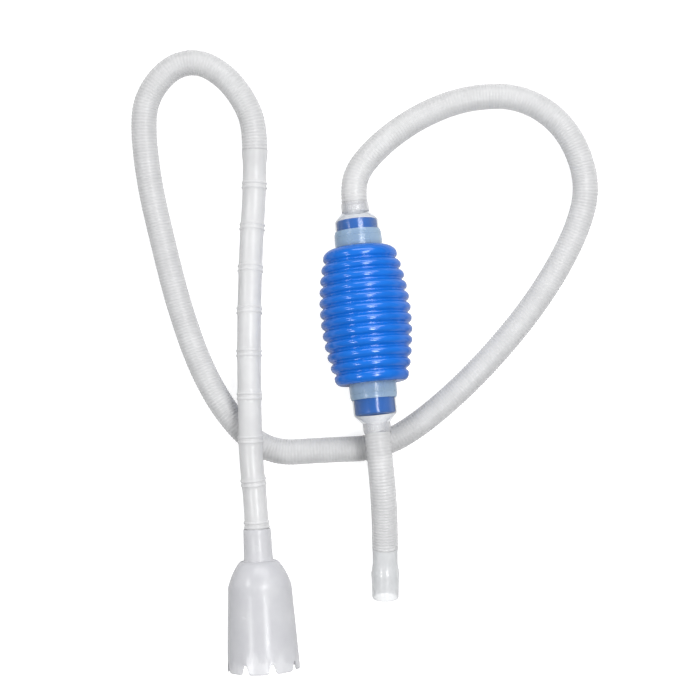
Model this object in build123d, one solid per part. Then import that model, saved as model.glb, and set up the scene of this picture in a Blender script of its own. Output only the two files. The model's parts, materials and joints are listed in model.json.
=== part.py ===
from build123d import *
import math
import os

# A gravel vacuum siphon laid out on a table: a blue bellows bulb with a one-way flap valve at each end,
# a long corrugated hose looped to a ringed tube and a notched gravel bell, and a short discharge hose.
# Millimetres and degrees, +Z up, the table at Z = 0, +Y from the bell's mouth towards the bulb's inlet.

# ---- Driving dimensions -------------------------------------------------------------------------------

# Hoses
HOSE_RADIUS = 9.1            # outside of the corrugations
HOSE_BORE_RADIUS = 8.0
TUBE_RADIUS = 8.2            # the smooth ringed tube
TUBE_BORE_RADIUS = 7.1

# Bellows: barrel of rounded ribs, its axis is the pump's own Z axis, water flows towards +Z
RIBS = 12
RIB_PITCH = 7.68
RIB_RADIUS_MIDDLE = 31.5
RIB_RADIUS_END = 25.6
GROOVE_DEPTH = 2.4
BELLOWS_WALL = 1.2
NECK_RADIUS = 14.1
SHOULDER_RADIUS = 16.5       # where each shoulder meets the flat that the collar butts on
INLET_SHOULDER = 6.25        # from the end rib's crest to that flat
OUTLET_SHOULDER = 3.7
INLET_SHOULDER_MIDDLE = (21.9, 4.75)    # radius, and distance past the end rib's crest
OUTLET_SHOULDER_MIDDLE = (20.5, 4.2)
INLET_CREST_OVERRUN = 2.4    # how far the end rib's arc runs past its crest
OUTLET_CREST_OVERRUN = 3.2
SEAT_SPACE = 0.05            # between the nested sleeves

# Fittings at both ends
COLLAR_LENGTH = 11.2
COLLAR_RADIUS = 16.3
COLLAR_TAPER = 2.2
COLLAR_LIP = 0.25
REDUCER_RADIUS = 15.1
REDUCER_WALL = 0.95
REDUCER_LENGTH = 18.0        # its straight part
CONE_LENGTH = 5.8
SPOUT_RADIUS = 8.2
SPOUT_BORE_RADIUS = 7.0
CUFF_RADIUS = 9.5
CUFF_LENGTH = 7.0

# Flap valves, one shape at both ends, in their own frame: flow +Z, hinge at the top, +Y
VALVE_LENGTH = 15.0
VALVE_BORE_RADIUS = 11.5
VALVE_CHAMFER = 0.9
PLATE_START = 0.6
PLATE_END = 2.4
PORT_RADIUS = 7.0
PORT_DROP = 1.0              # the port's centre below the valve's axis
LIP_WIDTH = 1.2
LIP_HEIGHT = 0.6
FLAP_GAP = 0.1
FLAP_RADIUS = 9.0
FLAP_THICKNESS = 1.2
HINGE_HEIGHT = 9.5
HINGE_ADVANCE = 4.7          # along the flow from the valve's upstream face
KNUCKLE_RADIUS = 1.5
KNUCKLE_WIDTH = 4.8
PIN_RADIUS = 0.75
PIN_FIT = 0.05
LUG_INNER = 2.7
LUG_OUTER = 4.5
LUG_BOTTOM = 7.9
LUG_END = 6.3

# Gravel bell, in its own frame: +Z from the neck's top to the mouth
NECK_TOP_RADIUS = 9.5
NECK_BASE_RADIUS = 10.0
NECK_LENGTH = 22.2
SOCKET_RADIUS = 8.3
SOCKET_DEPTH = 20.5
STOP_RADIUS = 7.2
LEDGE_RADIUS = 12.5
SHOULDER_MIDDLE = (18.1, 29.8)
SHOULDER_END = (21.9, 39.5)
BELL_LENGTH = 97.5
MOUTH_RADIUS = 25.1
BELL_WALL = 1.5
NOTCHES = 8
NOTCH_FIRST = 16.9           # angle of one notch from the top, towards +X
NOTCH_DEPTH = 6.6
NOTCH_TOP_WIDTH = 2.4
NOTCH_MOUTH_WIDTH = 6.6

# Discharge end cuff, in its own frame: +Z towards the open end
END_CUFF_LENGTH = 36.0
END_CUFF_RADIUS = 8.9
BEAD_RADIUS = 9.8
BEAD_START = 12.0
BEAD_TOP = 18.0
END_LIP_RADIUS = 9.3
END_BORE_RADIUS = 8.4
END_BORE_DEPTH = 22.0
END_BORE_STEP = 3.0

# ---- Places on the table ------------------------------------------------------------------------------

PUMP_CENTRE = (31.8, 82.4, 31.95)
PUMP_TURN = 5.63             # the outlet end swings towards +X
PUMP_TILT = 5.0              # and stands up, since the barrel rocks on its belly


def flow_frame(origin, turn, tilt):
    """A frame at origin whose Z runs towards -Y, swung by turn and raised by tilt, and whose Y is up."""
    turn, tilt = math.radians(turn), math.radians(tilt)
    forward = (math.sin(turn) * math.cos(tilt), -math.cos(turn) * math.cos(tilt), math.sin(tilt))
    return Plane(origin=origin, x_dir=(math.cos(turn), math.sin(turn), 0), z_dir=forward)


PUMP = flow_frame(PUMP_CENTRE, PUMP_TURN, PUMP_TILT)

# Stations along the pump's axis, from the middle of the bellows
CREST_END = RIB_PITCH * (RIBS - 1) / 2
INLET_FACE = -CREST_END - INLET_SHOULDER
OUTLET_FACE = CREST_END + OUTLET_SHOULDER
INLET_BAND = 7.4             # how much of each valve shows between collar and cone
OUTLET_BAND = 10.7
INLET_CONE = INLET_FACE - COLLAR_LENGTH - INLET_BAND
OUTLET_CONE = OUTLET_FACE + COLLAR_LENGTH + OUTLET_BAND
INLET_END = INLET_CONE - CONE_LENGTH - CUFF_LENGTH
OUTLET_END = OUTLET_CONE + CONE_LENGTH + CUFF_LENGTH

BELL_TOP = (-43.4, -64.2, 26.5)
BELL_TURN = 2.77
BELL_TILT = -0.8             # the mouth's rim lies on the table, the neck is held up by the tube
BELL_FRAME = flow_frame(BELL_TOP, BELL_TURN, BELL_TILT)

# Discharge hose: over the suction hose, then down towards the table, at a slope that the end cuff keeps
OUTLET_ROUTE = [
    tuple(PUMP.from_local_coords((0, 0, OUTLET_END))),
    tuple(PUMP.from_local_coords((0, 0, OUTLET_END + 18))),
    (43.8, -39.6, 36.0),
    (45.0, -61.6, 27.2),
    (45.2, -78.1, 23.3),
]

# Suction hose: out of the inlet cuff, down to the table, round the large loop, under the discharge hose
# and the ringed tube, up the left side and round the tight loop into the ringed tube's top end
SUCTION_ROUTE = [
    tuple(PUMP.from_local_coords((0, 0, INLET_END))),
    tuple(PUMP.from_local_coords((0, 0, INLET_END - 10))),
    (26.1, 183.0, 22.4),
    (34.0, 194.1, 19.7),
    (49.4, 209.1, 15.1),
    (73.3, 225.0, 10.7),
    (104.2, 236.4, 9.1),
    (140.6, 237.4, 9.1),
    (172.1, 216.8, 9.1),
    (188.2, 178.3, 9.1),
    (180.5, 142.6, 9.1),
    (153.2, 94.3, 9.1),
    (114.7, 47.8, 9.1),
    (73.4, 9.6, 9.1),
    (41.2, -9.3, 9.1),
    (3.4, -10.7, 9.1),
    (-36.5, -13.2, 9.1),
    (-63.8, 11.7, 9.1),
    (-84.1, 47.4, 9.1),
    (-99.5, 92.2, 9.1),
    (-110.0, 134.2, 9.1),
    (-119.8, 176.2, 9.1),
    (-124.4, 217.5, 9.1),
    (-120.5, 238.5, 9.1),
    (-105.1, 257.4, 9.1),
    (-85.5, 262.0, 9.1),
    (-67.3, 251.8, 9.1),
    (-54.0, 235.7, 9.1),
    (-45.8, 216.8, 9.1),
    (-45.8, 199.3, 9.1),
]

# Ringed tube: from its stop inside the bell's neck, over the suction hose, down to the suction hose's end
TUBE_ROUTE = [
    tuple(BELL_FRAME.from_local_coords((0, 0, SOCKET_DEPTH - 0.3))),
    tuple(BELL_FRAME.from_local_coords((0, 0, -20))),
    (-47.5, -16.5, 30.3),
    (-48.4, 24.8, 30.4),
    (-49.0, 66.2, 27.6),
    (-48.7, 100.4, 21.5),
    (-47.8, 138.4, 14.2),
    (-45.8, 171.9, 9.1),
    SUCTION_ROUTE[-1],
]

# ---- Shapes -------------------------------------------------------------------------------------------


def at(radius, station):
    """A point of a turned part's outline, drawn in the XZ plane."""
    return (radius, 0, station)


def turned(*outline):
    """A solid turned about Z from a closed outline of (radius, station) pairs."""
    points = [at(*point) for point in outline]
    return revolve(make_face(Polyline(*points, points[0])), axis=Axis.Z)


def crest(rib):
    """Station and radius of a rib's crest."""
    station = (rib - (RIBS - 1) / 2) * RIB_PITCH
    swell = 1 - (station / CREST_END) ** 2
    return station, RIB_RADIUS_END + (RIB_RADIUS_MIDDLE - RIB_RADIUS_END) * swell


def bellows_solid(inset, overrun):
    """The bellows' form, filled, with every radius less by inset and the necks longer by overrun."""
    rib_arc = (RIB_PITCH ** 2 / 4 + GROOVE_DEPTH ** 2) / (2 * GROOVE_DEPTH)

    def past_crest(distance):
        return RIB_RADIUS_END - rib_arc + math.sqrt(rib_arc ** 2 - distance ** 2) - inset

    inlet_start = at(past_crest(INLET_CREST_OVERRUN), -CREST_END - INLET_CREST_OVERRUN)
    outlet_start = at(past_crest(OUTLET_CREST_OVERRUN), CREST_END + OUTLET_CREST_OVERRUN)
    inlet_radius, inlet_distance = INLET_SHOULDER_MIDDLE
    outlet_radius, outlet_distance = OUTLET_SHOULDER_MIDDLE
    inlet_middle = at(inlet_radius - inset, -CREST_END - inlet_distance + inset)
    outlet_middle = at(outlet_radius - inset, CREST_END + outlet_distance - inset)
    inlet_root = at(SHOULDER_RADIUS - inset, INLET_FACE + inset)
    outlet_root = at(SHOULDER_RADIUS - inset, OUTLET_FACE - inset)

    edges = [ThreePointArc(inlet_root, inlet_middle, inlet_start)]
    left = inlet_start
    for rib in range(RIBS):
        station, radius = crest(rib)
        if rib + 1 < RIBS:
            next_station, next_radius = crest(rib + 1)
            right = at((radius + next_radius) / 2 - GROOVE_DEPTH - inset, (station + next_station) / 2)
        else:
            right = outlet_start
        edges.append(ThreePointArc(left, at(radius - inset, station), right))
        left = right
    edges.append(ThreePointArc(outlet_start, outlet_middle, outlet_root))

    neck = NECK_RADIUS - inset
    inlet_neck_end = INLET_CONE + VALVE_LENGTH - overrun
    outlet_neck_end = OUTLET_CONE - VALVE_LENGTH + overrun
    edges.append(Polyline(
        outlet_root, at(neck, OUTLET_FACE - inset), at(neck, outlet_neck_end), at(0, outlet_neck_end),
        at(0, inlet_neck_end), at(neck, inlet_neck_end), at(neck, INLET_FACE + inset), inlet_root,
    ))
    return revolve(make_face(edges), axis=Axis.Z)


def bellows():
    return bellows_solid(0, 0) - bellows_solid(BELLOWS_WALL, 1)


def collar():
    """Sleeve from its face on the bellows at Z = 0, with a tapered outer end."""
    bore = REDUCER_RADIUS + SEAT_SPACE
    return turned((bore, 0), (COLLAR_RADIUS, 0), (COLLAR_RADIUS, COLLAR_LENGTH - COLLAR_TAPER),
                  (bore + COLLAR_LIP, COLLAR_LENGTH), (bore, COLLAR_LENGTH))


def reducer():
    """Cap with its straight part below Z = 0, its cone above, and the spout that the hose cuff grips."""
    inside = REDUCER_RADIUS - REDUCER_WALL
    spout_end = CONE_LENGTH + CUFF_LENGTH
    return turned(
        (inside, -REDUCER_LENGTH), (REDUCER_RADIUS, -REDUCER_LENGTH), (REDUCER_RADIUS, -0.6),
        (REDUCER_RADIUS - 0.6, 0.5), (CUFF_RADIUS, CONE_LENGTH), (SPOUT_RADIUS, CONE_LENGTH),
        (SPOUT_RADIUS, spout_end), (SPOUT_BORE_RADIUS, spout_end), (SPOUT_BORE_RADIUS, CONE_LENGTH),
        (inside, 0.2),
    )


def hose_cuff():
    """Smooth end of a corrugated hose, from the reducer's cone at Z = 0."""
    return turned(
        (SPOUT_RADIUS, 0), (CUFF_RADIUS, 0), (CUFF_RADIUS, CUFF_LENGTH - 0.5),
        (CUFF_RADIUS - 0.3, CUFF_LENGTH), (SPOUT_RADIUS, CUFF_LENGTH),
    )


def valve_seat():
    """Ring with a ported plate, a raised lip round the port, and two lugs for the flap's pin."""
    ring = Pos(0, 0, VALVE_LENGTH / 2) * Cylinder(NECK_RADIUS, VALVE_LENGTH)
    ring = chamfer(ring.edges().filter_by(GeomType.CIRCLE), VALVE_CHAMFER)
    for start, end in ((-1, PLATE_START), (PLATE_END, VALVE_LENGTH + 1)):
        ring -= Pos(0, 0, (start + end) / 2) * Cylinder(VALVE_BORE_RADIUS, end - start)
    lip_end = PLATE_END + LIP_HEIGHT
    ring += Pos(0, -PORT_DROP, (PLATE_START + lip_end) / 2) * Cylinder(
        PORT_RADIUS + LIP_WIDTH, lip_end - PLATE_START)
    lug_top = math.sqrt(VALVE_BORE_RADIUS ** 2 - LUG_INNER ** 2) + 0.3
    for side in (-1, 1):
        ring += Pos(side * (LUG_INNER + LUG_OUTER) / 2, (LUG_BOTTOM + lug_top) / 2,
                    (PLATE_START + LUG_END) / 2) * Box(
            LUG_OUTER - LUG_INNER, lug_top - LUG_BOTTOM, LUG_END - PLATE_START)
    ring -= Pos(0, -PORT_DROP, VALVE_LENGTH / 2) * Cylinder(PORT_RADIUS, VALVE_LENGTH + 2)
    pin_hole = Rot(0, 90, 0) * Cylinder(PIN_RADIUS + 0.01, 2 * LUG_OUTER + 0.1)
    return ring - Pos(0, HINGE_HEIGHT, HINGE_ADVANCE) * pin_hole


def valve_flap():
    """Disc with an arm and a knuckle, lying just clear of the lip."""
    start = PLATE_END + LIP_HEIGHT + FLAP_GAP
    disc = Pos(0, -PORT_DROP, start + FLAP_THICKNESS / 2) * Cylinder(FLAP_RADIUS, FLAP_THICKNESS)
    arm_bottom = FLAP_RADIUS - PORT_DROP - 2
    arm = Pos(0, (arm_bottom + HINGE_HEIGHT) / 2, start + FLAP_THICKNESS / 2) * Box(
        KNUCKLE_WIDTH, HINGE_HEIGHT - arm_bottom, FLAP_THICKNESS)
    place = Pos(0, HINGE_HEIGHT, HINGE_ADVANCE)
    knuckle = place * Rot(0, 90, 0) * Cylinder(KNUCKLE_RADIUS, KNUCKLE_WIDTH)
    return disc + arm + knuckle - place * Rot(0, 90, 0) * Cylinder(PIN_RADIUS + PIN_FIT, 20)


def flap_pin():
    return Pos(0, HINGE_HEIGHT, HINGE_ADVANCE) * Rot(0, 90, 0) * Cylinder(PIN_RADIUS, 2 * LUG_OUTER)


def gravel_nozzle():
    """Bell turned about Z, with its socket for the ringed tube, less the notches round its mouth."""
    inner_middle = (SHOULDER_MIDDLE[0] - BELL_WALL, SHOULDER_MIDDLE[1] + 1)
    inner_end = (SHOULDER_END[0] - BELL_WALL, SHOULDER_END[1])
    ceiling = NECK_LENGTH + BELL_WALL
    outline = [
        Polyline(at(SOCKET_RADIUS, 0), at(NECK_TOP_RADIUS, 0), at(NECK_BASE_RADIUS, NECK_LENGTH),
                 at(LEDGE_RADIUS, NECK_LENGTH)),
        ThreePointArc(at(LEDGE_RADIUS, NECK_LENGTH), at(*SHOULDER_MIDDLE), at(*SHOULDER_END)),
        Polyline(at(*SHOULDER_END), at(MOUTH_RADIUS, BELL_LENGTH),
                 at(MOUTH_RADIUS - BELL_WALL, BELL_LENGTH), at(*inner_end)),
        ThreePointArc(at(*inner_end), at(*inner_middle), at(LEDGE_RADIUS - BELL_WALL, ceiling)),
        Polyline(at(LEDGE_RADIUS - BELL_WALL, ceiling), at(STOP_RADIUS, ceiling),
                 at(STOP_RADIUS, SOCKET_DEPTH), at(SOCKET_RADIUS, SOCKET_DEPTH), at(SOCKET_RADIUS, 0)),
    ]
    bell = revolve(make_face(outline), axis=Axis.Z)
    half_top, half_mouth = NOTCH_TOP_WIDTH / 2, NOTCH_MOUTH_WIDTH / 2
    notch = Plane.XZ * Polygon(
        (-half_top, BELL_LENGTH - NOTCH_DEPTH), (half_top, BELL_LENGTH - NOTCH_DEPTH),
        (half_mouth, BELL_LENGTH), (half_mouth, BELL_LENGTH + 1),
        (-half_mouth, BELL_LENGTH + 1), (-half_mouth, BELL_LENGTH), align=None)
    cutter = extrude(notch, amount=-1.3 * MOUTH_RADIUS)
    for number in range(NOTCHES):
        bell -= Rot(0, 0, -NOTCH_FIRST + number * 360 / NOTCHES) * cutter
    return bell


def end_cuff():
    """Smooth cuff with a raised bead, and a wider bore that slips over a pipe."""
    step = END_CUFF_LENGTH - END_BORE_DEPTH
    return turned(
        (HOSE_BORE_RADIUS, 0), (END_CUFF_RADIUS, 0), (END_CUFF_RADIUS, BEAD_START),
        (BEAD_RADIUS, BEAD_TOP), (BEAD_RADIUS, BEAD_TOP + 2), (END_LIP_RADIUS, END_CUFF_LENGTH - 1),
        (END_LIP_RADIUS - 0.3, END_CUFF_LENGTH), (END_BORE_RADIUS, END_CUFF_LENGTH),
        (END_BORE_RADIUS, step), (HOSE_BORE_RADIUS, step - END_BORE_STEP),
    )


def route_path(name, points):
    """Straight runs joined by tangent arcs, each as large as its two runs allow."""
    corners = [Vector(*point) for point in points]
    radii = []
    for before, corner, after in zip(corners, corners[1:], corners[2:]):
        turn = math.radians((corner - before).get_angle(after - corner))
        shorter = min((corner - before).length, (after - corner).length)
        radii.append(0.45 * shorter / math.tan(turn / 2))
    print(name, "radii", [round(radius) for radius in radii])
    return FilletPolyline(*points, radius=radii)


def hollow_tube(name, points, outside, bore):
    """A round tube along a route, with its volume compared with its section times its length."""
    path = route_path(name, points)
    section = Plane(origin=path @ 0, z_dir=path % 0) * (Circle(outside) - Circle(bore))
    tube = sweep(section, path=path)
    expected = math.pi * (outside ** 2 - bore ** 2) * path.length
    print(name, "length", round(path.length, 1), "volume ratio", round(tube.volume / expected, 4))
    return tube


# ---- Assembly -----------------------------------------------------------------------------------------

INLET_OUTWARDS = Pos(0, 0, INLET_FACE) * Rot(180, 0, 0)
OUTLET_OUTWARDS = Pos(0, 0, OUTLET_FACE)
INLET_CAP = Pos(0, 0, INLET_CONE) * Rot(180, 0, 0)
OUTLET_CAP = Pos(0, 0, OUTLET_CONE)
INLET_VALVE = Pos(0, 0, INLET_CONE)
OUTLET_VALVE = Pos(0, 0, OUTLET_CONE - VALVE_LENGTH)
CUFF_START = Pos(0, 0, CONE_LENGTH)

cuff_from, cuff_to = Vector(*OUTLET_ROUTE[-2]), Vector(*OUTLET_ROUTE[-1])
END_CUFF_FRAME = Plane(origin=cuff_to, z_dir=cuff_to - cuff_from)

parts = {
    "bellows": PUMP * bellows(),
    "inlet_collar": PUMP * INLET_OUTWARDS * collar(),
    "inlet_reducer": PUMP * INLET_CAP * reducer(),
    "inlet_hose_cuff": PUMP * INLET_CAP * CUFF_START * hose_cuff(),
    "inlet_valve_seat": PUMP * INLET_VALVE * valve_seat(),
    "inlet_valve_flap": PUMP * INLET_VALVE * valve_flap(),
    "inlet_flap_pin": PUMP * INLET_VALVE * flap_pin(),
    "outlet_collar": PUMP * OUTLET_OUTWARDS * collar(),
    "outlet_reducer": PUMP * OUTLET_CAP * reducer(),
    "outlet_hose_cuff": PUMP * OUTLET_CAP * CUFF_START * hose_cuff(),
    "outlet_valve_seat": PUMP * OUTLET_VALVE * valve_seat(),
    "outlet_valve_flap": PUMP * OUTLET_VALVE * valve_flap(),
    "outlet_flap_pin": PUMP * OUTLET_VALVE * flap_pin(),
    "outlet_hose": hollow_tube("outlet_hose", OUTLET_ROUTE, HOSE_RADIUS, HOSE_BORE_RADIUS),
    "outlet_end_cuff": END_CUFF_FRAME * end_cuff(),
    "suction_hose": hollow_tube("suction_hose", SUCTION_ROUTE, HOSE_RADIUS, HOSE_BORE_RADIUS),
    "suction_tube": hollow_tube("suction_tube", TUBE_ROUTE, TUBE_RADIUS, TUBE_BORE_RADIUS),
    "gravel_nozzle": BELL_FRAME * gravel_nozzle(),
}

os.makedirs("parts", exist_ok=True)
for name, solid in parts.items():
    export_step(solid, f"parts/{name}.step")
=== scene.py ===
import json
import math

import bpy
from mathutils import Matrix, Vector


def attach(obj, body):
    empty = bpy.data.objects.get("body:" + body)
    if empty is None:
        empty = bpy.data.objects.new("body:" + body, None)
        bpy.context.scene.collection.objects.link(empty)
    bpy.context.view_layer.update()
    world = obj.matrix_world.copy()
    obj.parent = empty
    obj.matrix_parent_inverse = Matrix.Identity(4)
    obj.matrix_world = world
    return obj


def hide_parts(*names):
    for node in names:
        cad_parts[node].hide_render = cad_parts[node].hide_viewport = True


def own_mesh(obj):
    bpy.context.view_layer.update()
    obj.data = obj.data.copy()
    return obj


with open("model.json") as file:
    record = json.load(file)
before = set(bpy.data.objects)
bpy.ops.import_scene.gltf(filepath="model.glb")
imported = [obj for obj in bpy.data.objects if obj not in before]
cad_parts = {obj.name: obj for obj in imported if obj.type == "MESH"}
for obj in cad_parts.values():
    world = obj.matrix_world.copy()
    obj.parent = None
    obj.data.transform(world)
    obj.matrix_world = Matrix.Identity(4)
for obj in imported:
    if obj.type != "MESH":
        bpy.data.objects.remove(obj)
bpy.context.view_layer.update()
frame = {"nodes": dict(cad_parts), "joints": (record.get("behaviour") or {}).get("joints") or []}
joints = {joint["name"]: joint for joint in frame["joints"]}
MM = 0.001

# ---- Bellows bulb -------------------------------------------------------------------------------------
# One blow-moulded barrel of blue polyethylene: twelve rounded ribs, a shoulder and a short neck at each
# end. Squeezed endways it pumps, and its outlet end then comes towards the inlet end.

RIBS = 12
RIB_PITCH = 7.68 * MM
RIB_RADIUS_MIDDLE = 31.5 * MM
RIB_RADIUS_END = 25.6 * MM
GROOVE_DEPTH = 2.4 * MM
FOLD_RADIUS = 0.95 * MM       # inside each fold between two ribs
RIB_STEPS = 8                 # facets across one rib, and across one fold
FOLD_STEPS = 4
BELLOWS_SIDES = 128
BELLOWS_SMOOTH = 70           # degrees, so that its folds shade as round
BELLOWS_WALL = 1.2 * MM
NECK_RADIUS = 14.1 * MM
SHOULDER_ROOT = 16.5 * MM     # radius where each shoulder meets the flat that the collar butts on
INLET_SHOULDER = 6.25 * MM    # from the end rib's crest to that flat
OUTLET_SHOULDER = 3.7 * MM
INLET_SHOULDER_CURVE = ((18.4, 5.95), (20.3, 5.4), (21.9, 4.75), (23.4, 3.75), (24.6, 2.6))
OUTLET_SHOULDER_CURVE = ((24.2, 3.0), (23.2, 3.75), (22.0, 4.15), (20.4, 4.2), (18.5, 4.0))
SHOULDER_REACH = 2.2 * MM     # how far each end rib's own arc runs past its crest
INLET_NECK = 3.6 * MM         # how far each neck runs past the flat
OUTLET_NECK = 6.8 * MM
CREST_END = RIB_PITCH * (RIBS - 1) / 2
INLET_FACE = -CREST_END - INLET_SHOULDER
OUTLET_FACE = CREST_END + OUTLET_SHOULDER
INLET_CONE = -67.09 * MM      # stations along the pump's axis, from the middle of the bellows
OUTLET_CONE = 67.84 * MM
HINGE_HEIGHT = 9.5 * MM       # the flap's pin above the pump's axis
HINGE_ADVANCE = 4.7 * MM      # and past the cone's root, along the flow

flow = -Vector(joints["bulb_squeeze"]["axis"])
across = -Vector(joints["inlet_flap_swing"]["axis"])
above = flow.cross(across)
inlet_hinge = Vector(joints["inlet_flap_swing"]["pos_m"])
pump_middle = inlet_hinge - above * HINGE_HEIGHT - flow * (INLET_CONE + HINGE_ADVANCE)


def frame_along(origin, direction, side=None):
    """The place of a turned piece: its Z runs along direction, its X is level unless a side is given."""
    z = Vector(direction).normalized()
    x = (side or Vector((0, 0, 1)).cross(z)).normalized()
    y = z.cross(x)
    return Matrix.Translation(origin) @ Matrix((x, y, z)).transposed().to_4x4()


PUMP = frame_along(pump_middle, flow, across)
INLET_CAP = PUMP @ Matrix.Translation((0, 0, INLET_CONE)) @ Matrix.Rotation(math.pi, 4, "X")
OUTLET_CAP = PUMP @ Matrix.Translation((0, 0, OUTLET_CONE))
INLET_OUTWARDS = PUMP @ Matrix.Translation((0, 0, INLET_FACE)) @ Matrix.Rotation(math.pi, 4, "X")
OUTLET_OUTWARDS = PUMP @ Matrix.Translation((0, 0, OUTLET_FACE))
WELD = 0.001 * MM             # points nearer than this are one point


def turned(name, outline, sides=96, smooth=40):
    """Extrudes an outline of (radius, station) pairs point by point and spins it round the Z axis."""
    bpy.ops.object.select_all(action="DESELECT")
    radius, station = outline[0]
    bpy.ops.mesh.primitive_plane_add(size=MM, location=(radius, 0, station))
    piece = bpy.context.object
    piece.name = piece.data.name = name
    bpy.ops.object.transform_apply()
    bpy.ops.object.mode_set(mode="EDIT")
    bpy.ops.mesh.select_all(action="SELECT")
    bpy.ops.mesh.merge(type="CENTER")
    for next_radius, next_station in outline[1:]:
        step = (next_radius - radius, 0, next_station - station)
        bpy.ops.mesh.extrude_region_move(TRANSFORM_OT_translate={"value": step})
        radius, station = next_radius, next_station
    bpy.ops.mesh.select_all(action="SELECT")
    bpy.ops.mesh.spin(steps=sides, angle=math.tau, center=(0, 0, 0), axis=(0, 0, 1))
    bpy.ops.mesh.select_all(action="SELECT")
    bpy.ops.mesh.remove_doubles(threshold=WELD)
    bpy.ops.mesh.normals_make_consistent(inside=False)
    bpy.ops.object.mode_set(mode="OBJECT")
    bpy.ops.object.shade_smooth_by_angle(angle=math.radians(smooth))
    return piece


def lay(piece, place):
    """Lays a finished piece at its place and leaves its object unturned at the origin."""
    bpy.ops.object.select_all(action="DESELECT")
    bpy.context.view_layer.objects.active = piece
    piece.select_set(True)
    piece.matrix_world = place
    bpy.ops.object.transform_apply(location=True, rotation=True, scale=True)
    return piece


def wall(piece, thickness):
    """Gives a skin its wall, inwards."""
    bpy.context.view_layer.objects.active = piece
    solid = piece.modifiers.new("wall", "SOLIDIFY")
    solid.thickness = thickness
    solid.offset = -1
    solid.use_even_offset = True
    bpy.ops.object.modifier_apply(modifier="wall")


COLOUR_SPREAD = (0.3, 0.7)    # of the noise, from all shade to all tint
GLOSS_SPREAD = (0.8, 1.2)     # of the roughness
RIM_BLEND = 0.35              # how early a clear wall thickens towards its rim
RIPPLE_SCALE = 260
RIPPLE_HEIGHT = 0.1 * MM


def plastic(name, shade, tint, roughness, alpha=1.0, rim=1.0, cloud=70, grain=0.02, ior=1.5):
    """Moulded plastic: colour drifts a little between shade and tint, gloss drifts, and the skin ripples.
    A clear one goes from alpha, seen square on, to rim, seen along its wall."""
    material = bpy.data.materials.new(name)
    material.use_nodes = True
    nodes, links = material.node_tree.nodes, material.node_tree.links
    shader = nodes["Principled BSDF"]
    shader.inputs["IOR"].default_value = ior
    shader.inputs["Alpha"].default_value = alpha
    if alpha < 1:
        slant = nodes.new("ShaderNodeLayerWeight")
        slant.inputs["Blend"].default_value = RIM_BLEND
        depth = nodes.new("ShaderNodeMapRange")
        depth.inputs["To Min"].default_value = alpha
        depth.inputs["To Max"].default_value = rim
        links.new(slant.outputs["Facing"], depth.inputs["Value"])
        links.new(depth.outputs["Result"], shader.inputs["Alpha"])
    place = nodes.new("ShaderNodeTexCoord")
    drift = nodes.new("ShaderNodeTexNoise")
    drift.inputs["Scale"].default_value = cloud
    drift.inputs["Detail"].default_value = 3
    ramp = nodes.new("ShaderNodeValToRGB")
    for element, position, colour in zip(ramp.color_ramp.elements, COLOUR_SPREAD, (shade, tint)):
        element.position = position
        element.color = (*colour, 1)
    gloss = nodes.new("ShaderNodeMapRange")
    gloss.inputs["To Min"].default_value = roughness * GLOSS_SPREAD[0]
    gloss.inputs["To Max"].default_value = roughness * GLOSS_SPREAD[1]
    ripple = nodes.new("ShaderNodeTexNoise")
    ripple.inputs["Scale"].default_value = RIPPLE_SCALE
    ripple.inputs["Detail"].default_value = 2
    bump = nodes.new("ShaderNodeBump")
    bump.inputs["Strength"].default_value = grain
    bump.inputs["Distance"].default_value = RIPPLE_HEIGHT
    links.new(place.outputs["Object"], drift.inputs["Vector"])
    links.new(place.outputs["Object"], ripple.inputs["Vector"])
    links.new(drift.outputs["Fac"], ramp.inputs["Fac"])
    links.new(drift.outputs["Fac"], gloss.inputs["Value"])
    links.new(ramp.outputs["Color"], shader.inputs["Base Color"])
    links.new(gloss.outputs["Result"], shader.inputs["Roughness"])
    links.new(ripple.outputs["Fac"], bump.inputs["Height"])
    links.new(bump.outputs["Normal"], shader.inputs["Normal"])
    return material


def finish(piece, material, body, slot, *nodes):
    """Gives a piece its material and its body, and hides the nodes that it stands for; its slot is not used.
    """
    piece.data.materials.clear()
    piece.data.materials.append(material)
    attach(piece, body)
    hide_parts(*nodes)


def swell(station):
    """Radius of the barrel over its crests."""
    share = min(1, abs(station / CREST_END))
    return RIB_RADIUS_END + (RIB_RADIUS_MIDDLE - RIB_RADIUS_END) * (1 - share ** 2)


def bellows_outline():
    """The bellows' skin from its inlet neck to its outlet neck."""
    reach = (RIB_PITCH ** 2 / 4 + GROOVE_DEPTH ** 2) / (2 * GROOVE_DEPTH)
    spread = math.asin(RIB_PITCH / 2 / reach)
    rib_radius = reach - FOLD_RADIUS
    end_reach = CREST_END + SHOULDER_REACH
    points = [(NECK_RADIUS, INLET_FACE - INLET_NECK), (NECK_RADIUS, INLET_FACE), (SHOULDER_ROOT, INLET_FACE)]
    points += [(radius * MM, -CREST_END - past * MM) for radius, past in INLET_SHOULDER_CURVE]
    for rib in range(RIBS):
        crest = (rib - (RIBS - 1) / 2) * RIB_PITCH
        for step in range(RIB_STEPS + 1):
            angle = spread * (2 * step / RIB_STEPS - 1)
            station = crest + rib_radius * math.sin(angle)
            if abs(station) < end_reach:
                points.append((swell(station) - rib_radius * (1 - math.cos(angle)), station))
        if rib + 1 == RIBS:
            continue
        for step in range(1, FOLD_STEPS):
            angle = spread * (2 * step / FOLD_STEPS - 1)
            station = crest + RIB_PITCH / 2 + FOLD_RADIUS * math.sin(angle)
            root = swell(station) - GROOVE_DEPTH
            points.append((root + FOLD_RADIUS * (1 - math.cos(angle)), station))
    points += [(radius * MM, CREST_END + past * MM) for radius, past in OUTLET_SHOULDER_CURVE]
    points += [(SHOULDER_ROOT, OUTLET_FACE), (NECK_RADIUS, OUTLET_FACE)]
    points.append((NECK_RADIUS, OUTLET_FACE + OUTLET_NECK))
    return points


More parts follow.
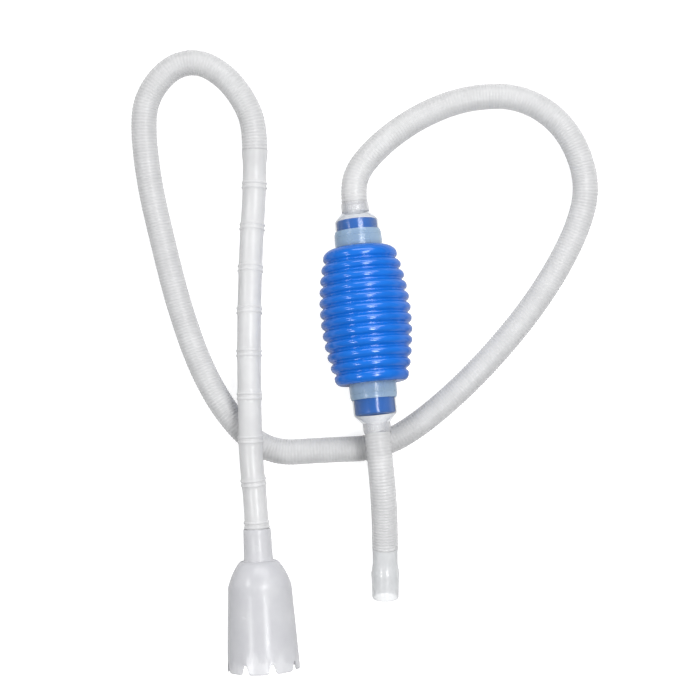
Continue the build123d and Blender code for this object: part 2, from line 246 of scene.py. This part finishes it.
blue = plastic("blue polyethylene", (0.003, 0.104, 0.46), (0.005, 0.124, 0.52), 0.17,
               grain=0.006, ior=1.48)
bulb = turned("bellows_bulb", bellows_outline(), sides=BELLOWS_SIDES, smooth=BELLOWS_SMOOTH)
wall(bulb, BELLOWS_WALL)
lay(bulb, PUMP)
finish(bulb, blue, "inlet_side", "blue_plastic", "bellows")
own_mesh(bulb)

# ---- Flap valves --------------------------------------------------------------------------------------
# A moulded seat ring of deep blue polyethylene in each neck, with a rubber flap on a steel pin in its
# lugs. The seats show through the clear caps as a deeper band between collar and cone.

deep_blue = plastic("deep blue polyethylene", (0.002, 0.085, 0.36), (0.004, 0.10, 0.41), 0.13)
rubber = plastic("flap rubber", (0.02, 0.022, 0.03), (0.035, 0.037, 0.045), 0.6, cloud=300)
steel = plastic("pin steel", (0.5, 0.5, 0.52), (0.6, 0.6, 0.6), 0.25, cloud=500, grain=0.05)
steel.node_tree.nodes["Principled BSDF"].inputs["Metallic"].default_value = 1.0
for end in ("inlet", "outlet"):
    for node, material in (("valve_seat", deep_blue), ("valve_flap", rubber), ("flap_pin", steel)):
        cad_piece = frame["nodes"][f"{end}_{node}"]
        cad_piece.data.materials.clear()
        cad_piece.data.materials.append(material)

# ---- Collars ------------------------------------------------------------------------------------------
# Frosted polypropylene sleeves pressed over the caps against the bellows' shoulders, each with a fine
# parting step round it and a tapered outer end.

COLLAR_BORE = 15.15 * MM
COLLAR_RADIUS = 16.3 * MM
COLLAR_LENGTH = 11.2 * MM
COLLAR_OUTLINE = [
    (COLLAR_BORE, 0), (COLLAR_RADIUS - 0.25 * MM, 0), (COLLAR_RADIUS, 0.25 * MM), (COLLAR_RADIUS, 6.6 * MM),
    (COLLAR_RADIUS - 0.22 * MM, 6.8 * MM), (COLLAR_RADIUS - 0.22 * MM, 7.2 * MM),
    (COLLAR_RADIUS - 0.05 * MM, 7.4 * MM), (COLLAR_RADIUS - 0.1 * MM, 9.0 * MM),
    (COLLAR_BORE + 0.35 * MM, COLLAR_LENGTH), (COLLAR_BORE + 0.1 * MM, COLLAR_LENGTH + 0.05 * MM),
    (COLLAR_BORE, COLLAR_LENGTH - 0.1 * MM), (COLLAR_BORE, 0),
]
frosted = plastic("frosted polypropylene", (0.32, 0.46, 0.61), (0.37, 0.51, 0.65), 0.18,
                  grain=0.006, alpha=0.38, rim=0.8)
for end, place in (("inlet", INLET_OUTWARDS), ("outlet", OUTLET_OUTWARDS)):
    sleeve = lay(turned(f"{end}_collar_sleeve", COLLAR_OUTLINE), place)
    finish(sleeve, frosted, f"{end}_side", "frosted_plastic", f"{end}_collar")

# ---- Reducing caps ------------------------------------------------------------------------------------
# Injection-moulded caps of clear polystyrene, pushed over the necks and valve seats: each is a sleeve, a
# cone, and the spout that the hose is stretched over.

CAP_RADIUS = 15.1 * MM
CAP_WALL = 0.95 * MM
CAP_LENGTH = 18.0 * MM
CONE_LENGTH = 5.8 * MM
SPOUT_LENGTH = 7.0 * MM
SPOUT_ROOT = 2.8 * MM         # over which the cone's end tapers into the spout
SPOUT_RADIUS = 8.2 * MM
SPOUT_BORE = 7.0 * MM
CUFF_RADIUS = 9.5 * MM
inside = CAP_RADIUS - CAP_WALL
CAP_OUTLINE = [
    (inside, -CAP_LENGTH), (CAP_RADIUS, -CAP_LENGTH), (CAP_RADIUS, -1.0 * MM),
    (CAP_RADIUS - 0.2 * MM, -0.35 * MM), (CAP_RADIUS - 0.65 * MM, 0.35 * MM),
    (CUFF_RADIUS + 0.6 * MM, CONE_LENGTH - 0.8 * MM), (CUFF_RADIUS, CONE_LENGTH),
    (SPOUT_RADIUS, CONE_LENGTH + SPOUT_ROOT), (SPOUT_RADIUS, CONE_LENGTH + SPOUT_LENGTH - 0.3 * MM),
    (SPOUT_RADIUS - 0.3 * MM, CONE_LENGTH + SPOUT_LENGTH), (SPOUT_BORE, CONE_LENGTH + SPOUT_LENGTH),
    (SPOUT_BORE, CONE_LENGTH), (inside, 0.2 * MM), (inside, -CAP_LENGTH),
]
clear = plastic("clear polystyrene", (0.16, 0.21, 0.28), (0.20, 0.25, 0.33), 0.12,
                alpha=0.06, rim=0.4, ior=2.2)
for end, place in (("inlet", INLET_CAP), ("outlet", OUTLET_CAP)):
    cap = lay(turned(f"{end}_reducing_cap", CAP_OUTLINE), place)
    finish(cap, clear, f"{end}_side", "clear_plastic", f"{end}_reducer")

# ---- Hose cuffs ---------------------------------------------------------------------------------------
# The smooth ends of the corrugated vinyl hoses, clearer than their rings. They are stretched over the
# spouts, up to the cones, and hold by their own grip.

CUFF_OUTLINE = [
    (CUFF_RADIUS - 0.12 * MM, 0), (CUFF_RADIUS, 0.1 * MM), (CUFF_RADIUS, 4.4 * MM),
    (CUFF_RADIUS - 0.1 * MM, 5.4 * MM), (CUFF_RADIUS - 0.35 * MM, SPOUT_LENGTH - 0.5 * MM),
    (CUFF_RADIUS - 0.8 * MM, SPOUT_LENGTH), (SPOUT_RADIUS, SPOUT_LENGTH), (SPOUT_RADIUS, SPOUT_ROOT),
    (CUFF_RADIUS - 0.12 * MM, 0),
]
CUFF_SIDES = 64
cuff_clear = plastic("clear cuff vinyl", (0.56, 0.56, 0.57), (0.62, 0.62, 0.63), 0.16, alpha=0.22, rim=0.85)
for end, place in (("inlet", INLET_CAP), ("outlet", OUTLET_CAP)):
    cuff = turned(f"{end}_hose_end", CUFF_OUTLINE, sides=CUFF_SIDES)
    lay(cuff, place @ Matrix.Translation((0, 0, CONE_LENGTH)))
    finish(cuff, cuff_clear, f"{end}_side", "clear_hose", f"{end}_hose_cuff")

# ---- Discharge hose -----------------------------------------------------------------------------------
# A short hose of translucent vinyl, moulded in fine rings. It runs from the outlet over the suction hose
# and down towards the table.

HOSE_CREST = 9.1 * MM
HOSE_GROOVE = 8.6 * MM
HOSE_BORE = 7.6 * MM
HOSE_PITCH = 2.2 * MM
HOSE_SIDES = 32
HOSE_STEPS = 4                # points along one moulded ring
HOSE_SMOOTH = 60              # degrees
BORE_STEP = 6 * MM


def smooth_line(route):
    """The points of one NURBS spline of order 3 that has the route's points as its control points."""
    curve = bpy.data.curves.new("route", "CURVE")
    curve.dimensions = "3D"
    curve.resolution_u = 24
    spline = curve.splines.new("NURBS")
    spline.points.add(len(route) - 1)
    for point, place in zip(spline.points, route):
        point.co = (*place, 1)
    spline.order_u = 3
    spline.use_endpoint_u = True
    holder = bpy.data.objects.new("route", curve)
    bpy.context.collection.objects.link(holder)
    bpy.context.view_layer.update()
    points = bpy.data.meshes.new_from_object(holder.evaluated_get(bpy.context.evaluated_depsgraph_get()))
    line = [vertex.co.copy() for vertex in points.vertices]
    bpy.data.objects.remove(holder)
    bpy.data.meshes.remove(points)
    bpy.data.curves.remove(curve)
    return line


def line_frames(line):
    """Distance, point and an untwisted pair of side directions at each point of a line."""
    frames, distance, side = [], 0.0, Vector((0, 0, 1))
    for number, point in enumerate(line):
        before, after = line[max(number - 1, 0)], line[min(number + 1, len(line) - 1)]
        along = (after - before).normalized()
        if number:
            distance += (point - line[number - 1]).length
        side = (side - along * side.dot(along)).normalized()
        frames.append((distance, point, side, along.cross(side)))
    return frames


def hose_wall(name, line, outline, sides):
    """A hose's wall along a line: a closed outline of (radius, distance) pairs, round at every distance."""
    frames = line_frames(line)
    vertices, faces, span = [], [], 0
    for radius, distance in outline:
        while span + 2 < len(frames) and frames[span + 1][0] < distance:
            span += 1
        while span and frames[span][0] > distance:
            span -= 1
        near, far = frames[span], frames[span + 1]
        share = (distance - near[0]) / (far[0] - near[0])
        point = near[1].lerp(far[1], share)
        side, other = near[2].lerp(far[2], share), near[3].lerp(far[3], share)
        for number in range(sides):
            angle = number * math.tau / sides
            vertices.append(point + (side * math.cos(angle) + other * math.sin(angle)) * radius)
    rings = len(outline)
    for ring in range(rings):
        here, there = ring * sides, (ring + 1) % rings * sides
        for number in range(sides):
            turn = (number + 1) % sides
            faces.append((here + number, here + turn, there + turn, there + number))
    mesh = bpy.data.meshes.new(name)
    mesh.from_pydata(vertices, [], faces)
    piece = bpy.data.objects.new(name, mesh)
    bpy.context.collection.objects.link(piece)
    bpy.ops.object.select_all(action="DESELECT")
    bpy.context.view_layer.objects.active = piece
    piece.select_set(True)
    bpy.ops.object.shade_smooth_by_angle(angle=math.radians(HOSE_SMOOTH))
    return piece


def corrugated(length):
    """Outline of fine moulded rings over a hose's length."""
    count = round(length / HOSE_PITCH) * HOSE_STEPS
    rings = []
    for number in range(count + 1):
        lift = (1 - math.cos(math.tau * number / HOSE_STEPS)) / 2
        rings.append((HOSE_GROOVE + (HOSE_CREST - HOSE_GROOVE) * lift, length * number / count))
    return rings


def bore(radius, length):
    """Outline of a smooth bore, from the far end back to the start."""
    count = max(round(length / BORE_STEP), 1)
    return [(radius, length - length * number / count) for number in range(count + 1)]


def length_of(line):
    """The length of a line from its first point to its last."""
    return line_frames(line)[-1][0]


OUTLET_ROUTE = [
    (0.03968, 0.00245, 0.03898), (0.04144, -0.01539, 0.04055), (0.0438, -0.0396, 0.0360),
    (0.0450, -0.0616, 0.0272), (0.0452, -0.0781, 0.0233),
]
outlet_line = smooth_line(OUTLET_ROUTE)
outlet_length = length_of(outlet_line)
hose_clear = plastic("translucent vinyl", (0.575, 0.575, 0.58), (0.635, 0.635, 0.64), 0.2,
                     alpha=0.45, rim=0.9, ior=1.42)
discharge = hose_wall("discharge_hose", outlet_line,
                      corrugated(outlet_length) + bore(HOSE_BORE, outlet_length), HOSE_SIDES)
finish(discharge, hose_clear, "outlet_side", "clear_hose", "outlet_hose")

# ---- Discharge end cuff -------------------------------------------------------------------------------
# The discharge hose's smooth end of clear vinyl, moulded with a raised bead round it and bored wider, to
# slip over a pipe or hang in a bucket.

END_CUFF_OUTLINE = [(radius * MM, station * MM) for radius, station in (
    (8.0, 0), (8.9, 0), (8.9, 0.6), (8.75, 2.5), (8.7, 10.5), (8.9, 12.5), (9.5, 16.2), (9.8, 17.8),
    (9.8, 19.6), (9.6, 21.5), (9.35, 27), (9.3, 34.8), (9.2, 35.6), (8.95, 36), (8.6, 36), (8.4, 35.7),
    (8.4, 14), (8.0, 11), (8.0, 0),
)]
cuff_axis = Vector(OUTLET_ROUTE[-1]) - Vector(OUTLET_ROUTE[-2])
end_clear = plastic("clear vinyl", (0.60, 0.61, 0.62), (0.66, 0.67, 0.68), 0.16, alpha=0.4, rim=0.9)
end_cuff = turned("discharge_end_cuff", END_CUFF_OUTLINE)
lay(end_cuff, frame_along(Vector(OUTLET_ROUTE[-1]), cuff_axis))
finish(end_cuff, end_clear, "outlet_side", "clear_hose", "outlet_end_cuff")

# ---- Suction hose -------------------------------------------------------------------------------------
# The long corrugated vinyl hose: out of the inlet and down to the table, round the large loop, back under
# the discharge hose and the ringed tube, and round the tight loop into the ringed tube.

SUCTION_ROUTE = [
    (0.02399, 0.16160, 0.02499), (0.02302, 0.17152, 0.02412), (0.0261, 0.1830, 0.0224),
    (0.0340, 0.1941, 0.0197), (0.0494, 0.2091, 0.0151), (0.0733, 0.2250, 0.0107),
    (0.1042, 0.2364, 0.0091), (0.1406, 0.2374, 0.0091), (0.1721, 0.2168, 0.0091),
    (0.1882, 0.1783, 0.0091), (0.1805, 0.1426, 0.0091), (0.1532, 0.0943, 0.0091),
    (0.1147, 0.0478, 0.0091), (0.0734, 0.0096, 0.0091), (0.0412, -0.0093, 0.0091),
    (0.0034, -0.0107, 0.0091), (-0.0365, -0.0132, 0.0091), (-0.0638, 0.0117, 0.0091),
    (-0.0841, 0.0474, 0.0091), (-0.0995, 0.0922, 0.0091), (-0.1100, 0.1342, 0.0091),
    (-0.1198, 0.1762, 0.0091), (-0.1244, 0.2175, 0.0091), (-0.1205, 0.2385, 0.0091),
    (-0.1051, 0.2574, 0.0091), (-0.0855, 0.2620, 0.0091), (-0.0673, 0.2518, 0.0091),
    (-0.0540, 0.2357, 0.0091), (-0.0458, 0.2168, 0.0091), (-0.0458, 0.1993, 0.0091),
]
suction_line = smooth_line(SUCTION_ROUTE)
suction_length = length_of(suction_line)
suction = hose_wall("corrugated_suction_hose", suction_line,
                    corrugated(suction_length) + bore(HOSE_BORE, suction_length), HOSE_SIDES)
finish(suction, hose_clear, "inlet_side", "clear_hose", "suction_hose")

# ---- Ringed tube --------------------------------------------------------------------------------------
# A smooth vinyl tube with pairs of fine stiffening rings, pushed into the bell's neck at one end and
# moulded on to the corrugated hose at the other, where it is as wide as the hose.

TUBE_RADIUS = 8.2 * MM
TUBE_BORE = 7.1 * MM
RING_RISE = 0.65 * MM
RING_PAIR = 3.4 * MM          # between the two rings of a pair
RING_PITCH = 29.7 * MM
FIRST_PAIR = 23.0 * MM        # from the tube's end in the bell
RING_PAIRS = 9
# Across one ring: (mm from its crest, share of its rise)
RING_SECTION = ((-1.1, 0.1), (-0.65, 0.35), (-0.35, 0.85), (0, 1.0), (0.35, 0.85), (0.65, 0.35), (1.1, 0.1))
RING_CLEARANCE = 1.6 * MM     # no plain point nearer than this to a crest
BELLY_RISE = 0.25 * MM        # the tube swells a little under each pair
BELLY_REACH = 4 * MM
TUBE_SIDES = 48
TUBE_STEP = 2.4 * MM
FLARE_LENGTH = 12 * MM

TUBE_ROUTE = [
    (-0.04242, -0.08437, 0.02622), (-0.04437, -0.04423, 0.02678), (-0.0475, -0.0165, 0.0303),
    (-0.0484, 0.0248, 0.0304), (-0.0490, 0.0662, 0.0276), (-0.0487, 0.1004, 0.0215),
    (-0.0478, 0.1384, 0.0142), (-0.0458, 0.1719, 0.0091), (-0.0458, 0.1993, 0.0091),
]
tube_line = smooth_line(TUBE_ROUTE)
tube_length = length_of(tube_line)


def tube_outline():
    """Outside of the ringed tube: straight between its ring pairs, and flared to the hose at its end."""
    pairs = [FIRST_PAIR + pair * RING_PITCH for pair in range(RING_PAIRS)]
    crests = [pair + offset for pair in pairs for offset in (-RING_PAIR / 2, RING_PAIR / 2)]
    rises = {crest + offset * MM: rise for crest in crests for offset, rise in RING_SECTION}
    count = round(tube_length / TUBE_STEP)
    for number in range(count + 1):
        station = number * tube_length / count
        if all(abs(station - crest) > RING_CLEARANCE for crest in crests):
            rises[station] = 0.0
    rings = []
    for station in sorted(rises):
        belly = sum(math.exp(-((station - pair) / BELLY_REACH) ** 2) for pair in pairs) * BELLY_RISE
        flare = max(0.0, 1 - (tube_length - station) / FLARE_LENGTH)
        widening = flare * flare * (3 - 2 * flare) * (HOSE_CREST - TUBE_RADIUS)
        rings.append((TUBE_RADIUS + belly + rises[station] * RING_RISE + widening, station))
    return rings


ringed = plastic("translucent tube vinyl", (0.62, 0.62, 0.625), (0.67, 0.67, 0.675), 0.24,
                 alpha=0.55, rim=0.9, ior=1.4)
tube = hose_wall("ringed_tube", tube_line, tube_outline() + bore(TUBE_BORE, tube_length), TUBE_SIDES)
finish(tube, ringed, "inlet_side", "ringed_tube", "suction_tube")

# ---- Gravel bell --------------------------------------------------------------------------------------
# One milky polyethylene moulding: a neck with a socket for the tube, a ledge, a round shoulder and a
# tapered skirt with eight notches that let gravel and water in at the mouth.

BELL_TOP = (-0.0434, -0.0642, 0.0265)
BELL_LENGTH = 97.5 * MM
BELL_OUTLINE = [(radius * MM, station * MM) for radius, station in (
    (8.3, 0.4), (8.6, 0), (9.2, 0), (9.5, 0.4), (9.62, 5), (9.85, 16), (10.0, 21.0), (10.4, 21.9),
    (11.2, 22.15), (12.2, 22.2), (12.9, 22.45), (14.6, 24.2), (16.5, 26.9), (18.1, 29.8), (19.5, 32.8),
    (20.8, 36.2), (21.9, 39.5), (22.2, 44.5), (22.6, 52), (23.05, 60), (23.5, 68), (23.9, 76), (24.2, 81),
    (24.4, 84.5), (24.6, 88), (24.75, 91), (24.88, 93.5), (25.0, 95.5), (25.06, 96.9), (24.9, 97.35),
    (24.35, 97.5), (23.8, 97.35), (23.6, 96.9), (23.5, 95.5), (23.38, 93.5), (23.25, 91), (23.1, 88),
    (22.9, 84.5), (22.7, 81), (22.4, 76), (22.0, 68), (21.55, 60), (21.1, 52), (20.7, 44.5), (20.4, 39.5),
    (19.2, 36.2), (17.9, 32.8), (16.6, 30.8), (15.1, 28.1), (13.2, 25.2), (11.5, 23.7), (7.2, 23.7),
    (7.2, 20.5), (8.3, 20.5), (8.3, 10), (8.3, 0.4),
)]
NOTCHES = 8
NOTCH_FIRST = math.radians(16.9)
NOTCH_ZONE = 81.0 * MM        # the skirt's rows past this station follow the notched edge
# Half a notch, from its middle out: (mm round the mouth, mm cut back)
NOTCH_EDGE = (
    (0, 6.6), (0.75, 6.55), (1.25, 6.1), (1.6, 5.1), (2.15, 3.5), (2.7, 1.8), (3.1, 0.6), (3.7, 0.1),
    (4.5, 0),
)
HALF_PERIOD = 12              # columns of points from a notch's middle to the middle of the next tooth
BELL_SIDES = NOTCHES * HALF_PERIOD * 2
GATHER_RATE = 2.2             # how soon the columns have gathered at the notches, over the zone
CUT_RATE = 1.25               # how soon the rows are cut back in full
CUT_POWER = 1.2

skirt = turned("gravel_bell", BELL_OUTLINE, sides=BELL_SIDES)
half_angle = math.pi / NOTCHES
column_angle = math.tau / BELL_SIDES
for vertex in skirt.data.vertices:
    if vertex.co.z <= NOTCH_ZONE:
        continue
    radius = math.hypot(vertex.co.x, vertex.co.y)
    angle = math.atan2(vertex.co.y, vertex.co.x)
    column = round(angle / column_angle) % (2 * HALF_PERIOD)
    offset = column if column <= HALF_PERIOD else column - 2 * HALF_PERIOD
    share = (vertex.co.z - NOTCH_ZONE) / (BELL_LENGTH - NOTCH_ZONE)
    if abs(offset) < len(NOTCH_EDGE):
        around, cut = NOTCH_EDGE[abs(offset)]
        span = math.copysign(around * MM / radius, offset)
    else:
        around, cut = NOTCH_EDGE[-1]
        left = (HALF_PERIOD - abs(offset)) / (HALF_PERIOD - len(NOTCH_EDGE) + 1)
        span = math.copysign(half_angle - left * (half_angle - around * MM / radius), offset)
    base = angle - offset * column_angle
    gathered = min(1.0, share * GATHER_RATE)
    turned_to = base + offset * column_angle * (1 - gathered) + span * gathered
    vertex.co.x = radius * math.cos(turned_to)
    vertex.co.y = radius * math.sin(turned_to)
    vertex.co.z -= cut * MM * min(1.0, share * CUT_RATE) ** CUT_POWER

milky = plastic("milky polyethylene", (0.545, 0.545, 0.57), (0.595, 0.595, 0.615), 0.25, alpha=0.64, rim=0.95)
bell_axis = Vector(joints["bell_pull"]["axis"])
lay(skirt, frame_along(Vector(BELL_TOP), bell_axis) @ Matrix.Rotation(math.pi / 2 - NOTCH_FIRST, 4, "Z"))
finish(skirt, milky, "bell", "milky_plastic", "gravel_nozzle")

# ---- Table, lights and camera -------------------------------------------------------------------------
# A white sweep that glows a little towards the camera, so that it looks like paper, under five soft
# boxes: two on the right, two small ones on the left, and a wide one far behind.

TABLE_WIDTH = 8
TABLE_GLOW = 0.75
bpy.ops.object.select_all(action="DESELECT")
bpy.ops.mesh.primitive_plane_add(size=TABLE_WIDTH, location=(0, 0, 0))
table = bpy.context.object
table.name = "table"
sweep = plastic("white sweep", (0.5, 0.5, 0.5), (0.52, 0.52, 0.52), 0.9, cloud=3, grain=0.0)
sweep_nodes, sweep_links = sweep.node_tree.nodes, sweep.node_tree.links
sweep_shader = sweep_nodes["Principled BSDF"]
sweep_shader.inputs["Emission Color"].default_value = (1, 1, 1, 1)
ray = sweep_nodes.new("ShaderNodeLightPath")
glow = sweep_nodes.new("ShaderNodeMapRange")
glow.inputs["To Max"].default_value = TABLE_GLOW
sweep_links.new(ray.outputs["Is Camera Ray"], glow.inputs["Value"])
sweep_links.new(glow.outputs["Result"], sweep_shader.inputs["Emission Strength"])
table.data.materials.append(sweep)


def softbox(name, place, aim, width, height, power):
    """A rectangular area light at a place, turned to its aim. Lengths in m, power in W."""
    bpy.ops.object.light_add(type="AREA", location=place)
    light = bpy.context.object
    light.name = name
    light.data.shape = "RECTANGLE"
    light.data.size, light.data.size_y = width, height
    light.data.energy = power
    light.rotation_euler = (Vector(aim) - Vector(place)).to_track_quat("-Z", "Y").to_euler()


softbox("right box", (0.43, 0.46, 1.3), (0.02, 0.1, 0.03), 0.42, 0.66, 10)
softbox("front box", (0.43, -0.36, 1.3), (0.02, 0.0, 0.03), 0.34, 0.36, 9.5)
softbox("left back box", (-1.2, 0.7, 1.1), (0.02, 0.06, 0.03), 0.3, 0.3, 4)
softbox("left front box", (-0.9, -0.45, 1.25), (0.02, 0.06, 0.03), 0.3, 0.3, 6)
softbox("far box", (0.2, 1.4, 1.0), (0.02, 0.1, 0.03), 1.8, 0.6, 16)

ROOM_COLOUR = (0.95, 0.97, 1.0, 1)
ROOM_LIGHT = 0.28
world = bpy.context.scene.world or bpy.data.worlds.new("studio")
bpy.context.scene.world = world
world.use_nodes = True
room = world.node_tree.nodes["Background"]
room.inputs["Color"].default_value = ROOM_COLOUR
room.inputs["Strength"].default_value = ROOM_LIGHT

CAMERA_PLACE = (0.02085, 0.0593, 1.4)
VIEW_WIDTH = 0.49             # what the camera sees across at the hoses' height
SENSOR = 36                   # mm
CLEAR_LAYERS = 24             # walls that can be seen through, one behind another
bpy.ops.object.camera_add(location=CAMERA_PLACE, rotation=(0, 0, 0))
camera = bpy.context.object
camera.data.sensor_width = SENSOR
camera.data.lens = SENSOR * (CAMERA_PLACE[2] - HOSE_CREST) / VIEW_WIDTH
bpy.context.scene.camera = camera
bpy.context.scene.view_settings.view_transform = "Standard"
bpy.context.scene.cycles.transparent_max_bounces = CLEAR_LAYERS
